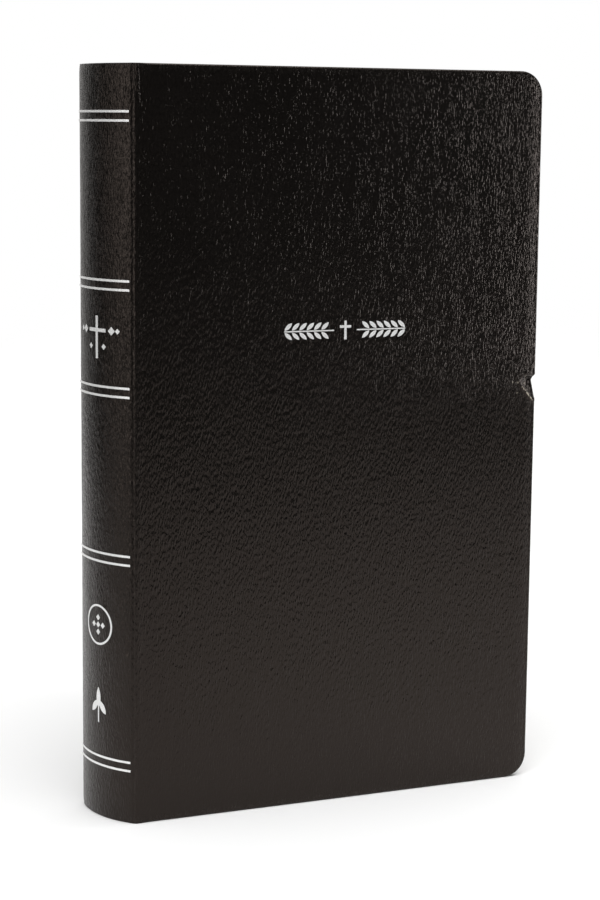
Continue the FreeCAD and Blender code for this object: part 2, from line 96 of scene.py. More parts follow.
# The case: leather, boards, and the curve of the joint between cover and spine. Away from the
# joint the rolled edge thickens over the board's edge on one side, and over the spine on the other.
COVER_CORNER = 7.2
TURN_IN = 14.0
SKIN = 0.4
CASE_THICK = 2.2
SPINE_EDGE = 0.7
JOINT_EDGE = 0.42
JOINT_ROUND = 0.9
RISE_START = 1.6
RISE_LENGTH = 3.2
SPINE_RISE = 1.4
BOARD_START = 4.5
BOARD_INSET = 1.3
BOARD_TOP = 0.5
BOARD_UNDER = 1.7
CORNER_STEPS = 14

# The rolled edge: below 1 its round is squarer than a half circle. Near the edges the face falls
# by EDGE_DROP over EDGE_FALL, at head and tail over LESS_FALL less.
ROLL_POWER = 0.62
ROLL_STEPS = 13
EDGE_FALL = 4.5
EDGE_DROP = 0.45
LESS_FALL = 1.5
# Rows of points across the turned-in leather: share of its width, and how far down its cut edge.
TURN_IN_ROWS = [(share, 0.0) for share in (0.06, 0.14, 0.28, 0.45, 0.7, 0.97, 1.0)] + [(1.0, SKIN)]
# Worn leather: how far the rubbed corners reach, and how wide the rubbed edge and joint are.
WORN_CORNER = 9
WORN_EDGE = 1.6
WORN_JOINT = 0.8

# The pasted endpapers, and how far they sink inside the turned-in leather.
PASTE_DEPTH = 2.35
PASTE_THICK = 0.13
PASTE_MARGIN = 4.0
PASTE_SINK = 0.28
PASTE_BOW = 0.35

# The leaves: corners, and how far from their fold they bend when they turn.
PAGE_CORNER = 4.5
GUTTER = 13.0
FOLD_STEPS = 7
FOLD_ROUND = 0.6
# Cut edges: every second leaf stands back by LEAF_STEP, and each by up to LEAF_STRAY more.
LEAF_STEP = 0.09
LEAF_STRAY = 0.05
LEAF_WAVE = 0.05

# The nick in the fore edge. Points beside it are given as distance from the edge, then height.
NICK_TOP = 125.1
NICK_FLOOR = 123.4
NICK_FOOT = 117.5
NICK_DEPTH = 1.2
NICK_FADE = 6.0
NICK_CREASE = ((4.9, 121.6), (0.3, 116.5))
NICK_SPECKS = ((3.3, 124.6), (3.9, 122.3), (6.3, 122.8), (7.9, 122.9), (6.4, 119.6))
# Raised creases round it: start, end, height and half width.
NICK_FOLDS = [
    (*NICK_CREASE, 0.30, 0.42),
    ((7.4, 126.2), (5.2, 122.0), 0.16, 0.40),
    ((3.4, 125.6), (1.2, 125.3), 0.18, 0.45),
]
# The hollow between them starts this high at the edge, and higher inwards by the slope.
HOLLOW_FOOT = 116.1
HOLLOW_SLOPE = 1.1
HOLLOW_DEPTH = 0.85
HOLLOW_REACH = 5.2

# The groove and the soft ridge along the joints: place, height and half width.
JOINT_FOLDS = [(-0.4, -0.22, 0.45), (1.3, 0.05, 0.7)]
# A crease at the head of the front joint: its ends, height and half width.
HEAD_CREASE = ((1.3, HEIGHT - 9), (0.9, HEIGHT + 2))
HEAD_CREASE_SIZE = (0.22, 0.4)

# Humps of the leather: length across and along the book, height, and a seed.
WAVES = [(33, 47, 0.040, 3), (12, 21, 0.018, 4)]
WRINKLES = [(1.7, 5.2, 0.022, 5), (1.1, 2.9, 0.014, 6)]
HIGHEST = 0.30


# ------------ small tools

def to_frame(points, turn=0.0):
    """Closed-book millimetres, swung open by turn degrees, as metres in the row frame."""
    points = np.asarray(points, float)
    angle = np.radians(turn)
    x = points[..., 0] * np.cos(angle) + points[..., 1] * np.sin(angle)
    y = points[..., 1] * np.cos(angle) - points[..., 0] * np.sin(angle)
    return np.stack([x + FRONT_JOINT[0], y + FRONT_JOINT[1], points[..., 2]], -1) * MM


def smooth(t):
    t = np.clip(t, 0, 1)
    return t * t * (3 - 2 * t)


def hill(distance, width):
    return np.exp(-(distance / width) ** 2)


def noise(u, v, seed, period=256):
    """Smooth noise from -1 to 1 with one hump to a unit."""
    table = np.random.default_rng(seed).uniform(-1, 1, (period, period))
    i, j = np.floor(u).astype(int), np.floor(v).astype(int)
    f, g = smooth(u - i), smooth(v - j)
    i, j, i1, j1 = (index % period for index in (i, j, i + 1, j + 1))
    low = table[i, j] * (1 - f) + table[i1, j] * f
    high = table[i, j1] * (1 - f) + table[i1, j1] * f
    return low * (1 - g) + high * g


def to_segment(u, v, start, end):
    """Distance of points from a straight line between two points."""
    step = np.subtract(end, start)
    t = ((u - start[0]) * step[0] + (v - start[1]) * step[1]) / (step @ step)
    t = np.clip(t, 0, 1)
    return np.hypot(u - start[0] - t * step[0], v - start[1] - t * step[1])


def steps(*runs):
    """Numbers from one stop to the next, each run about as fine as its step: (start, stop, step)."""
    out = []
    for start, stop, step in runs:
        count = max(1, round(abs(stop - start) / step))
        out.extend(np.linspace(start, stop, count + 1)[(1 if out else 0):])
    return np.array(out)


# Millimetres of sheet to one unit of its UV map, and how close points are sewn, in metres.
SHEET_UNIT = 100.0
WELD = 2e-6


class Patchwork:
    """Grids of points sewn into one mesh, with sheet coordinates and a value on each for wear and
    painted highlight.
    """

    def __init__(self):
        self.points, self.sheet, self.wear, self.faces, self.looks = [], [], [], [], []
        self.count = 0

    def grid(self, points, sheet, look=0, wear=0.0, flip=False):
        rows, columns = points.shape[:2]
        index = self.count + np.arange(rows * columns).reshape(rows, columns)
        quads = np.stack([index[:-1, :-1], index[:-1, 1:], index[1:, 1:], index[1:, :-1]], -1)
        quads = quads.reshape(-1, 4)
        self.faces.append(quads[:, ::-1] if flip else quads)
        self.looks.append(np.full(len(quads), look))
        self.points.append(points.reshape(-1, 3))
        self.sheet.append(np.asarray(sheet, float).reshape(-1, 2))
        self.wear.append(np.broadcast_to(np.asarray(wear, float), (rows, columns)).reshape(-1))
        self.count += rows * columns

    def build(self, name, materials, sharp=None, outward=False):
        points, sheet, wear = map(np.concatenate, (self.points, self.sheet, self.wear))
        faces, looks = np.concatenate(self.faces), np.concatenate(self.looks)
        mesh = bpy.data.meshes.new(name)
        mesh.from_pydata(points.tolist(), [], faces.tolist())
        layer = mesh.uv_layers.new(name="sheet")
        corners = np.zeros(len(mesh.loops), np.int32)
        mesh.loops.foreach_get("vertex_index", corners)
        layer.data.foreach_set("uv", (sheet[corners] / SHEET_UNIT).astype(np.float32).ravel())
        # Per point: wear, and on the front leather the painted highlight along the nick's crease.
        worn = mesh.attributes.new("wear", "FLOAT", "POINT")
        worn.data.foreach_set("value", wear.astype(np.float32))
        mesh.polygons.foreach_set("material_index", looks.astype(np.int32))
        shape = bmesh.new()
        shape.from_mesh(mesh)
        bmesh.ops.remove_doubles(shape, verts=shape.verts, dist=WELD)
        if outward:
            bmesh.ops.recalc_face_normals(shape, faces=shape.faces)
        shape.to_mesh(mesh)
        shape.free()
        mesh.shade_smooth()
        if sharp is not None:
            mesh.set_sharp_from_angle(angle=math.radians(sharp))
        for material in materials:
            mesh.materials.append(material)
        piece = bpy.data.objects.new(name, mesh)
        scene.collection.objects.link(piece)
        return piece


class Plate:
    """The plan of a sheet: a rectangle with its two fore corners rounded."""

    def __init__(self, columns, width, low, high, radius, rows, corner_steps=CORNER_STEPS):
        self.width, self.low, self.high, self.radius = width, low, high, radius
        right = width - radius
        quarter = np.linspace(0, math.pi / 2, 2 * corner_steps + 1)
        self.columns = len(columns) + corner_steps
        self.rows = len(rows) + 2 * corner_steps
        level = np.zeros_like(columns)

        def arc(centre, angles):
            x, y = np.cos(angles), np.sin(angles)
            return np.column_stack([right + radius * x, centre + radius * y, x, y])

        up = np.zeros_like(rows)
        self.path = np.concatenate([
            np.column_stack([columns, level + low, level, level - 1]),
            arc(low + radius, quarter - math.pi / 2)[1:],
            np.column_stack([up + width, rows, up + 1, up])[1:],
            arc(high - radius, quarter)[1:],
            np.column_stack([columns, level + high, level, level + 1])[::-1][1:],
        ])

    def inset(self, depth):
        """The outline moved inwards, mitred where that passes the corner radius."""
        depth = np.broadcast_to(np.asarray(depth, float), len(self.path))
        toward = self.path[:, 2:]
        points = self.path[:, :2] - depth[:, None] * toward
        deep = depth > self.radius
        mitred = np.minimum(points[:, 0], self.width - depth)
        points[:, 0] = np.where(deep, mitred, points[:, 0])
        level = np.clip(points[:, 1], self.low + depth, self.high - depth)
        points[:, 1] = np.where(deep, level, points[:, 1])
        return points

    def fill(self, edge):
        """A grid of points inside a border of points: rows run up, columns to the fore edge."""
        corner = self.columns - 1
        tail = edge[:corner + 1]
        fore = edge[corner:corner + self.rows]
        head = edge[corner + self.rows - 1:][::-1]
        p = (tail[:, 0] - tail[0, 0]) / (tail[-1, 0] - tail[0, 0])
        q = (fore[:, 1] - fore[0, 1]) / (fore[-1, 1] - fore[0, 1])
        spine = tail[0] + q[:, None] * (head[0] - tail[0])
        p, q = p[None, :, None], q[:, None, None]
        return ((1 - q) * tail[None] + q * head[None]
                + (1 - p) * spine[:, None] + p * fore[:, None]
                - (1 - p) * (1 - q) * tail[0] - p * (1 - q) * tail[-1]
                - (1 - p) * q * head[0] - p * q * head[-1])


# ------------ materials

class Look:
    """A node material being put together."""

    def __init__(self, name):
        self.material = bpy.data.materials.new(name)
        self.material.use_nodes = True
        self.tree = self.material.node_tree
        self.tree.nodes.clear()
        self.output = self.tree.nodes.new("ShaderNodeOutputMaterial")
        self.shader = self.tree.nodes.new("ShaderNodeBsdfPrincipled")
        self.tree.links.new(self.shader.outputs[0], self.output.inputs[0])
        self.sheet = self.node("UVMap", uv_map="sheet").outputs[0]

    def node(self, kind, inputs=None, **settings):
        node = self.tree.nodes.new("ShaderNode" + kind)
        for key, value in settings.items():
            setattr(node, key, value)
        for key, value in (inputs or {}).items():
            self.feed(node.inputs[key], value)
        return node

    def feed(self, socket, value):
        if isinstance(value, bpy.types.NodeSocket):
            self.tree.links.new(value, socket)
        else:
            socket.default_value = value

    def finish(self, **values):
        for key, value in values.items():
            self.feed(self.shader.inputs[key.replace("_", " ").title().replace("Ior", "IOR")], value)
        return self.material

    def scaled(self, across, along, vector=None):
        """Sheet coordinates with one unit to so many millimetres across and along."""
        scale = (SHEET_UNIT / across, SHEET_UNIT / along, 1)
        return self.node("Mapping", {"Vector": vector or self.sheet, "Scale": scale}).outputs[0]

    def noise(self, across, along, detail=2.0, rough=0.5, vector=None):
        return self.node("TexNoise", {
            "Vector": self.scaled(across, along, vector), "Scale": 1.0, "Detail": detail,
            "Roughness": rough}, noise_dimensions="2D").outputs[0]

    def cells(self, across, along, vector, feature):
        return self.node("TexVoronoi", {"Vector": self.scaled(across, along, vector), "Scale": 1.0},
                         voronoi_dimensions="2D", feature=feature).outputs["Distance"]

    def maths(self, operation, first, second=0.0, third=0.0):
        node = self.node("Math", operation=operation)
        for socket, value in zip(node.inputs, (first, second, third)):
            self.feed(socket, value)
        return node.outputs[0]

    def product(self, *values):
        total = values[0]
        for value in values[1:]:
            total = self.maths("MULTIPLY", total, value)
        return total

    def inside(self, value, start, stop):
        """1 where a value lies between two others."""
        return self.product(self.maths("GREATER_THAN", value, start),
                            self.maths("LESS_THAN", value, stop))

    def place(self):
        """Millimetres along a sheet: from the joint to the fore edge, and up from the tail."""
        parts = self.node("SeparateXYZ", {0: self.sheet})
        return [self.maths("MULTIPLY", part, SHEET_UNIT) for part in list(parts.outputs)[:2]]

    def to_border(self, u, v, left, right, low, high):
        """How far a point is inside a rectangle, below 0 outside it."""
        across = self.maths("MINIMUM", self.maths("SUBTRACT", u, left),
                            self.maths("SUBTRACT", right, u))
        along = self.maths("MINIMUM", self.maths("SUBTRACT", v, low),
                           self.maths("SUBTRACT", high, v))
        return self.maths("MINIMUM", across, along)

    def between(self, value, low, high, to_low=0.0, to_high=1.0):
        return self.node("MapRange", {
            "Value": value, "From Min": low, "From Max": high, "To Min": to_low,
            "To Max": to_high}, interpolation_type="SMOOTHSTEP").outputs[0]

    def mix(self, share, first, second):
        node = self.node("Mix", {0: share}, data_type="RGBA")
        colours = [s for s in node.inputs if s.type == "RGBA"]
        self.feed(colours[0], (*first, 1) if isinstance(first, tuple) else first)
        self.feed(colours[1], (*second, 1) if isinstance(second, tuple) else second)
        return next(s for s in node.outputs if s.type == "RGBA")

    def wander(self, across, along, reach):
        """Sheet coordinates pushed about by up to reach millimetres."""
        push = self.node("TexNoise", {"Vector": self.scaled(across, along), "Scale": 1.0},
                         noise_dimensions="2D").outputs["Color"]
        middle = self.node("VectorMath", {0: push, 1: (0.5, 0.5, 0.5)}, operation="SUBTRACT")
        small = self.node("VectorMath", {0: middle.outputs[0], "Scale": reach / SHEET_UNIT},
                          operation="SCALE")
        return self.node("VectorMath", {0: self.sheet, 1: small.outputs[0]},
                         operation="ADD").outputs[0]

    def attribute(self, name):
        return self.node("Attribute", attribute_name=name).outputs["Fac"]

    def bump(self, height, distance):
        return self.node("Bump", {"Height": height, "Distance": distance}).outputs[0]


# Grain of the leather: size across and along the book in mm, and its share of the height.
PEBBLES = (0.58, 1.7, -0.45)
GRAIN_WRINKLES = (0.32, 1.6, 0.75)
VALLEYS = (1.1, 3.6, 0.06)
PORES = (0.24, 0.34, 0.06)
GRAIN_DEPTH = 0.19

BLACK = ((0.0060, 0.0053, 0.0048), (0.0076, 0.0066, 0.0060))
BLACK_VALLEY = (0.0044, 0.0039, 0.0036)
RUBBED = (0.040, 0.036, 0.033)
# Pale colour of scraped leather, also used to paint the highlight along the nick's crease.
PALE_SCRAPE_AND_HIGHLIGHT = (0.34, 0.31, 0.25)
# A wear value above 1 stands for leather that is scraped pale and carries the painted highlight
# along the nick's crease, not only rubbed.
SCRAPE_AND_HIGHLIGHT_LEVEL = 2.0


def leather_grain(look):
    """Height of the pressed grain: pebbles drawn out up the book, wrinkles and fine pores."""
    wandered = look.wander(5.0, 14.0, 0.8)
    pebbles = look.cells(*PEBBLES[:2], wandered, feature="SMOOTH_F1")
    wrinkles = look.noise(*GRAIN_WRINKLES[:2], 1.5, 0.5, wandered)
    pores = look.noise(*PORES[:2], 1.0)
    edges = look.cells(*VALLEYS[:2], wandered, feature="DISTANCE_TO_EDGE")
    valleys = look.between(edges, 0.0, 0.14)
    height = look.maths("MULTIPLY", wrinkles, GRAIN_WRINKLES[2])
    height = look.maths("MULTIPLY_ADD", pebbles, PEBBLES[2], height)
    height = look.maths("MULTIPLY_ADD", valleys, VALLEYS[2], height)
    return look.maths("MULTIPLY_ADD", pores, PORES[2], height), valleys


def leather_look():
    """Black grained leather: rubbed a little at its edges; where wear is above 1, scraped pale and
    painted with the highlight along the nick's crease.
    """
    look = Look("black_leather_look")
    height, valleys = leather_grain(look)
    wear = look.attribute("wear")
    patches = look.noise(26, 34, 3.0)
    patchy = look.between(look.noise(0.9, 2.2, 2.0), 0.42, 0.62)
    rub = look.product(look.maths("MINIMUM", wear, 1.0), 0.45, patchy)
    # Pale scrapes and the painted highlight round the nick, broken into specks, where the value is
    # above 1.
    specks = look.between(look.noise(0.5, 0.7, 1.0), 0.40, 0.55)
    scrape_and_highlight = look.product(look.between(wear, 1.05, 1.8), specks)
    ground = look.mix(valleys, BLACK_VALLEY, look.mix(patches, *BLACK))
    colour = look.mix(look.product(rub, 0.55), ground, RUBBED)
    colour = look.mix(scrape_and_highlight, colour, PALE_SCRAPE_AND_HIGHLIGHT)
    rough = look.between(patches, 0.3, 0.7, 0.14, 0.18)
    rough = look.maths("MULTIPLY_ADD", rub, -0.06, rough)
    return look.finish(base_color=colour, roughness=rough, specular_ior_level=0.32,
                       specular_tint=(1.0, 0.81, 0.71, 1),
                       normal=look.bump(height, GRAIN_DEPTH * MM))


PAPER = (0.80, 0.775, 0.72)
PAPER_SHADE = (0.745, 0.715, 0.655)
END_PAPER = (0.82, 0.80, 0.755)
END_SHADE = (0.77, 0.745, 0.695)

# How high paper fibres stand, in mm, and the noise that clouds the paper.
FIBRE_DEPTH = 0.012
CLOUDS = (14, 18, 4.0, 0.6)


def clouded(look, shadow, colour):
    """Paper that is a little darker in soft patches."""
    return look.mix(look.between(look.noise(*CLOUDS), 0.3, 0.7), shadow, colour)


def fibres(look, across=0.3, along=0.5):
    return look.bump(look.noise(across, along, 3.0), FIBRE_DEPTH * MM)


def endpaper_look():
    look = Look("endpaper")
    return look.finish(base_color=clouded(look, END_SHADE, END_PAPER), roughness=0.68,
                       specular_ior_level=0.35, normal=fibres(look, 0.35, 0.595))


def page_edge_look():
    """Cut or folded edges of many leaves, as lighter lines with painted shade in the darker gaps
    between them.
    """
    look = Look("page_edges")
    lines = look.noise(0.055, 60.0, 1.0)
    # Painted shade in the gaps between leaves: darker lines along the edge.
    shaded_gaps = look.between(lines, 0.45, 0.68, 0.0, 0.38)
    shade_between_leaves = tuple(0.45 * part for part in PAPER_SHADE)
    tone = look.mix(shaded_gaps, clouded(look, PAPER_SHADE, PAPER), shade_between_leaves)
    return look.finish(base_color=tone, roughness=0.75, specular_ior_level=0.3,
                       normal=look.bump(lines, 0.03 * MM))


INK = (0.06, 0.055, 0.05)
BORDER_INK = (0.16, 0.13, 0.075)
SEA = (0.52, 0.66, 0.74)
COAST = (0.16, 0.25, 0.33)
LOW_LAND = (0.72, 0.70, 0.50)
HIGH_LAND = (0.60, 0.50, 0.32)
MAP_MARGIN = (0.84, 0.83, 0.79)
MAP_LINE = (0.10, 0.12, 0.14)

# The print on a page: two columns of lines, in mm.
TEXT_LEFT = 11.0
TEXT_RIGHT = 115.0
TEXT_GUTTER = (60.0, 65.0)
TEXT_LOW = 13.0
TEXT_HIGH = 15.0
LINE_PITCH = 3.1
WORD_LENGTH = 1.9


def printed_look():
    """A bible page: two columns of lines too small to read, as broken grey strokes."""
    look = Look("bible_page")
    u, v = look.place()
    columns = look.maths("MAXIMUM", look.inside(u, TEXT_LEFT, TEXT_GUTTER[0]),
                         look.inside(u, TEXT_GUTTER[1], TEXT_RIGHT))
    block = look.inside(v, PAGE_LOW + TEXT_LOW, PAGE_HIGH - TEXT_HIGH)
    line = look.maths("DIVIDE", v, LINE_PITCH)
    stroke = look.inside(look.maths("FRACT", line), 0.28, 0.66)
    # Every line gets words of its own, far from its neighbours' in the noise.
    spot = look.node("CombineXYZ", {0: look.maths("DIVIDE", u, WORD_LENGTH),
                                    1: look.product(look.maths("FLOOR", line), 7.31)})
    words = look.node("TexNoise", {"Vector": spot.outputs[0], "Scale": 1.0, "Detail": 1.0},
                      noise_dimensions="2D").outputs[0]
    specks = look.between(look.noise(0.35, 0.9, 1.0), 0.35, 0.6, 0.25, 1.0)
    ink = look.product(columns, block, stroke, look.between(words, 0.40, 0.46), specks, 0.62)
    tone = look.mix(ink, clouded(look, PAPER_SHADE, PAPER), INK)
    return look.finish(base_color=tone, roughness=0.66, specular_ior_level=0.35,
                       normal=fibres(look))


def page_frame(inset):
    """Left, right, low and high of a frame set in from the edges of a page."""
    return (3.0 + inset, PAGE_WIDTH + 2.0 - inset, PAGE_LOW + inset, PAGE_HIGH - inset)


def frame_line(look, u, v, inset, width):
    """1 on a rectangular border line set in from a page's edges."""
    return look.inside(look.to_border(u, v, *page_frame(inset)), 0.0, width)


def presentation_look():
    """The presentation leaf: a double border and a few ruled lines to write on."""
    look = Look("presentation_page")
    u, v = look.place()
    border = look.maths("MAXIMUM", frame_line(look, u, v, 10.0, 0.9),
                        frame_line(look, u, v, 12.0, 0.3))
    rule = look.maths("LESS_THAN", look.maths("FRACT", look.maths("DIVIDE", v, 17.0)), 0.018)
    rules = look.product(look.inside(u, 30.0, 98.0), look.inside(v, 60.0, 128.0), rule)
    ink = look.product(look.maths("MAXIMUM", border, rules), 0.7)
    tone = look.mix(ink, clouded(look, END_SHADE, END_PAPER), BORDER_INK)
    return look.finish(base_color=tone, roughness=0.6, specular_ior_level=0.4,
                       normal=fibres(look))


def map_look():
    """Coated paper with a made-up coastline in pale colours."""
    look = Look("map_page")
    u, v = look.place()
    land = look.noise(46, 58, 6.0, 0.55)
    shore = look.between(land, 0.50, 0.515)
    inland = look.maths("SUBTRACT", 1.0, look.between(land, 0.515, 0.53))
    coast = look.product(look.between(land, 0.485, 0.50), inland, 0.5)
    hills = look.between(look.noise(9, 11, 5.0, 0.6), 0.35, 0.75)
    ground = look.mix(hills, LOW_LAND, HIGH_LAND)
    tone = look.mix(shore, SEA, ground)
    tone = look.mix(coast, tone, COAST)
    margin = look.maths("LESS_THAN", look.to_border(u, v, *page_frame(9.0)), 0.0)
    tone = look.mix(margin, tone, MAP_MARGIN)
    tone = look.mix(frame_line(look, u, v, 8.4, 0.6), tone, MAP_LINE)
    return look.finish(base_color=tone, roughness=0.36, specular_ior_level=0.5,
                       normal=look.bump(look.noise(0.5, 0.8, 2.0), 0.006 * MM))


def plain_look(name, dark, light, size, rough, depth, metallic=0.0, level=0.4):
    """Fine grain in a rigid piece's own coordinates; its size and depth are in mm."""
    look = Look(name)
    place = look.node("TexCoord").outputs["Object"]
    mapped = look.node("Mapping", {"Vector": place, "Scale": (1 / (size * MM),) * 3})
    grain = look.node("TexNoise", {"Vector": mapped.outputs[0], "Scale": 1.0,
                                   "Detail": 3.0}).outputs[0]
    tone = look.mix(look.between(grain, 0.3, 0.7), dark, light)
    roughness = look.between(grain, 0.3, 0.7, rough, rough * 0.8)
    return look.finish(base_color=tone, roughness=roughness, metallic=metallic,
                       specular_ior_level=level, normal=look.bump(grain, depth * MM))


BAND_PITCH = 2.4
BAND_CREAM = (0.60, 0.57, 0.50)
BAND_BLACK = (0.020, 0.018, 0.018)


def band_look():
    """Two-colour stitching wound round the head and tail bands."""
    look = Look("band_stitching")
    along = look.place()[0]
    turn = look.maths("FRACT", look.maths("DIVIDE", along, BAND_PITCH))
    stripe = look.between(look.maths("PINGPONG", turn, 0.5), 0.20, 0.30)
    tone = look.mix(stripe, BAND_CREAM, BAND_BLACK)
    return look.finish(base_color=tone, roughness=0.7, sheen_weight=0.3,
                       normal=look.bump(look.noise(0.12, 1.2, 2.0), 0.05 * MM))


leather = leather_look()
page_face = printed_look()
page_edge = page_edge_look()
end_face = endpaper_look()
title_face = presentation_look()
map_face = map_look()
band = band_look()
# The rigid pieces: dark and light tone, grain size, roughness and grain depth.
card = plain_look("grey_card", (0.22, 0.20, 0.17), (0.33, 0.30, 0.26), 0.6, 0.85, 0.06)
mull = plain_look("mull_cloth", (0.50, 0.48, 0.42), (0.66, 0.63, 0.56), 0.5, 0.9, 0.10)
lining = plain_look("lining_paper", (0.34, 0.26, 0.17), (0.42, 0.33, 0.22), 0.9, 0.8, 0.04)
thread = plain_look("linen_thread", (0.62, 0.59, 0.52), (0.78, 0.75, 0.68), 0.25, 0.8, 0.06)
foil = plain_look("silver_foil", (0.86, 0.86, 0.855), (0.99, 0.99, 0.985), 0.45, 0.34, 0.03,
                  metallic=0.12, level=0.8)

# ------------ the leather case

OPEN = math.radians(OPENING)
SIDES = {
    "front": {
        "corner": np.zeros(2), "along": np.array([math.cos(OPEN), -math.sin(OPEN)]),
        "out": np.array([-math.sin(OPEN), -math.cos(OPEN)]), "angle": FRONT_ANGLE, "turn": -1},
    "back": {
        "corner": np.array([0.0, CHORD]), "along": np.array([1.0, 0.0]),
        "out": np.array([0.0, 1.0]), "angle": 2 * math.pi - FRONT_ANGLE, "turn": 1},
}


def case_point(side, u, depth):
    """Where the case is at u mm from the joint (below 0 on the spine), depth mm under its face."""
    facts = SIDES[side]

    def on_cover(distance):
        distance = np.asarray(distance, float)[..., None]
        place = facts["corner"] + distance * facts["along"]
        return place, np.broadcast_to(facts["out"], place.shape)

    def on_spine(distance):
        angle = facts["angle"] + facts["turn"] * np.asarray(distance, float) / SPINE_RADIUS
        out = np.stack([np.cos(angle), np.sin(angle)], -1)
        return SPINE_CENTRE + SPINE_RADIUS * out, out

    u = np.asarray(u, float)
    place, out = on_cover(u)
    spine_place, spine_out = on_spine(-u)
    on_arc = (u < 0)[..., None]
    place, out = np.where(on_arc, spine_place, place), np.where(on_arc, spine_out, out)
    begin, begin_out = on_cover(JOINT_ROUND)
    finish, finish_out = on_spine(JOINT_ROUND)
    t = ((JOINT_ROUND - u) / (2 * JOINT_ROUND))[..., None]
    near = (np.abs(u) < JOINT_ROUND)[..., None]
    bend = (1 - t) ** 2 * begin + 2 * t * (1 - t) * facts["corner"] + t ** 2 * finish
    lean = (1 - t) * begin_out + t * finish_out
    lean = lean / np.maximum(np.linalg.norm(lean, axis=-1, keepdims=True), 1e-9)
    place, out = np.where(near, bend, place), np.where(near, lean, out)
    return place - np.asarray(depth)[..., None] * out


def half_thickness(u):
    """Radius of the rolled edge: the cover with its board, the bare joint, the spine."""
    value = JOINT_EDGE + (CASE_THICK / 2 - JOINT_EDGE) * smooth((u - RISE_START) / RISE_LENGTH)
    return value + (SPINE_EDGE - JOINT_EDGE) * smooth((-u - JOINT_ROUND) / SPINE_RISE)


def nick(v):
    """How far the fore edge is nicked in at a height."""
    return NICK_DEPTH * np.interp(v, [NICK_FOOT, NICK_FLOOR, NICK_TOP], [0, 1, 0],
                                  left=0, right=0)


def humps(far, v, sizes):
    """Sum of noises of the given sizes."""
    return sum(high * noise(far / across, v / along, seed) for across, along, high, seed in sizes)


def hollow(edge, v):
    """Depth of the dent between the nick's ledge and its crease."""
    above_crease = smooth(v - HOLLOW_FOOT - HOLLOW_SLOPE * edge)
    under_ledge = smooth((NICK_TOP - 0.3 - v) / 0.5) * np.clip((v - 116.5) / 8, 0, 1)
    return HOLLOW_DEPTH * above_crease * under_ledge * smooth((HOLLOW_REACH - edge) / 2.0)


def relief(side, u, v):
    """Height of the leather over its flat shape: soft waves, wrinkles, creases, worn edges."""
    far = -SPINE_ARC - u if side == "back" else u
    on_cover = smooth(u / 6)
    height = humps(far, v, WAVES) * (0.25 + 0.75 * on_cover) - 0.04 + humps(far, v, WRINKLES)
    for centre, high, width in JOINT_FOLDS:
        height = height + high * hill(u - centre, width)
    edge = WIDTH - u
    if side == "front":
        high, width = HEAD_CREASE_SIZE
        height = height + high * hill(to_segment(u, v, *HEAD_CREASE), width)
        for start, end, high, width in NICK_FOLDS:
            height = height + high * hill(to_segment(edge, v, start, end), width)
        height = height - hollow(edge, v)
    inside = np.minimum(np.minimum(v, HEIGHT - v) + LESS_FALL, edge)
    fall = np.clip(1 - inside / EDGE_FALL, 0, 1)
    return np.minimum(height, HIGHEST) - EDGE_DROP * fall ** 2


def scuffs_and_highlight(u, v):
    """Where the leather is scraped pale round the nick and where its crease carries a painted
    highlight, from 0 to 1.
    """
    edge = WIDTH - u
    # The line along the crease is the painted highlight, on scraped leather; the specks are scuffs.
    scraped_and_highlit = hill(to_segment(edge, v, *NICK_CREASE), 0.42)
    for across, level in NICK_SPECKS:
        scraped_and_highlit = np.maximum(scraped_and_highlit, hill(np.hypot(edge - across, v - level), 0.5))
    return scraped_and_highlit


def face_wear(side, u, v):
    """How worn the outer face of the leather is: rubbed edges, corners and joint, and scuffs, with
    the painted highlight along the nick's crease.
    """
    border = np.minimum(np.minimum(v, HEIGHT - v), WIDTH - u)
    corner = np.hypot(np.maximum(u - WIDTH + WORN_CORNER, 0), np.maximum(
        np.maximum(v - HEIGHT + WORN_CORNER, WORN_CORNER - v), 0)) / WORN_CORNER
    worn = np.clip(hill(border, WORN_EDGE) + 0.7 * smooth((corner - 0.75) / 0.35), 0, 1)
    worn = np.maximum(worn, 0.6 * hill(u, WORN_JOINT))
    # On the front, values above 1 mark scrapes and the painted highlight of the nick's crease.
    return np.maximum(worn, SCRAPE_AND_HIGHLIGHT_LEVEL * scuffs_and_highlight(u, v)) if side == "front" else worn


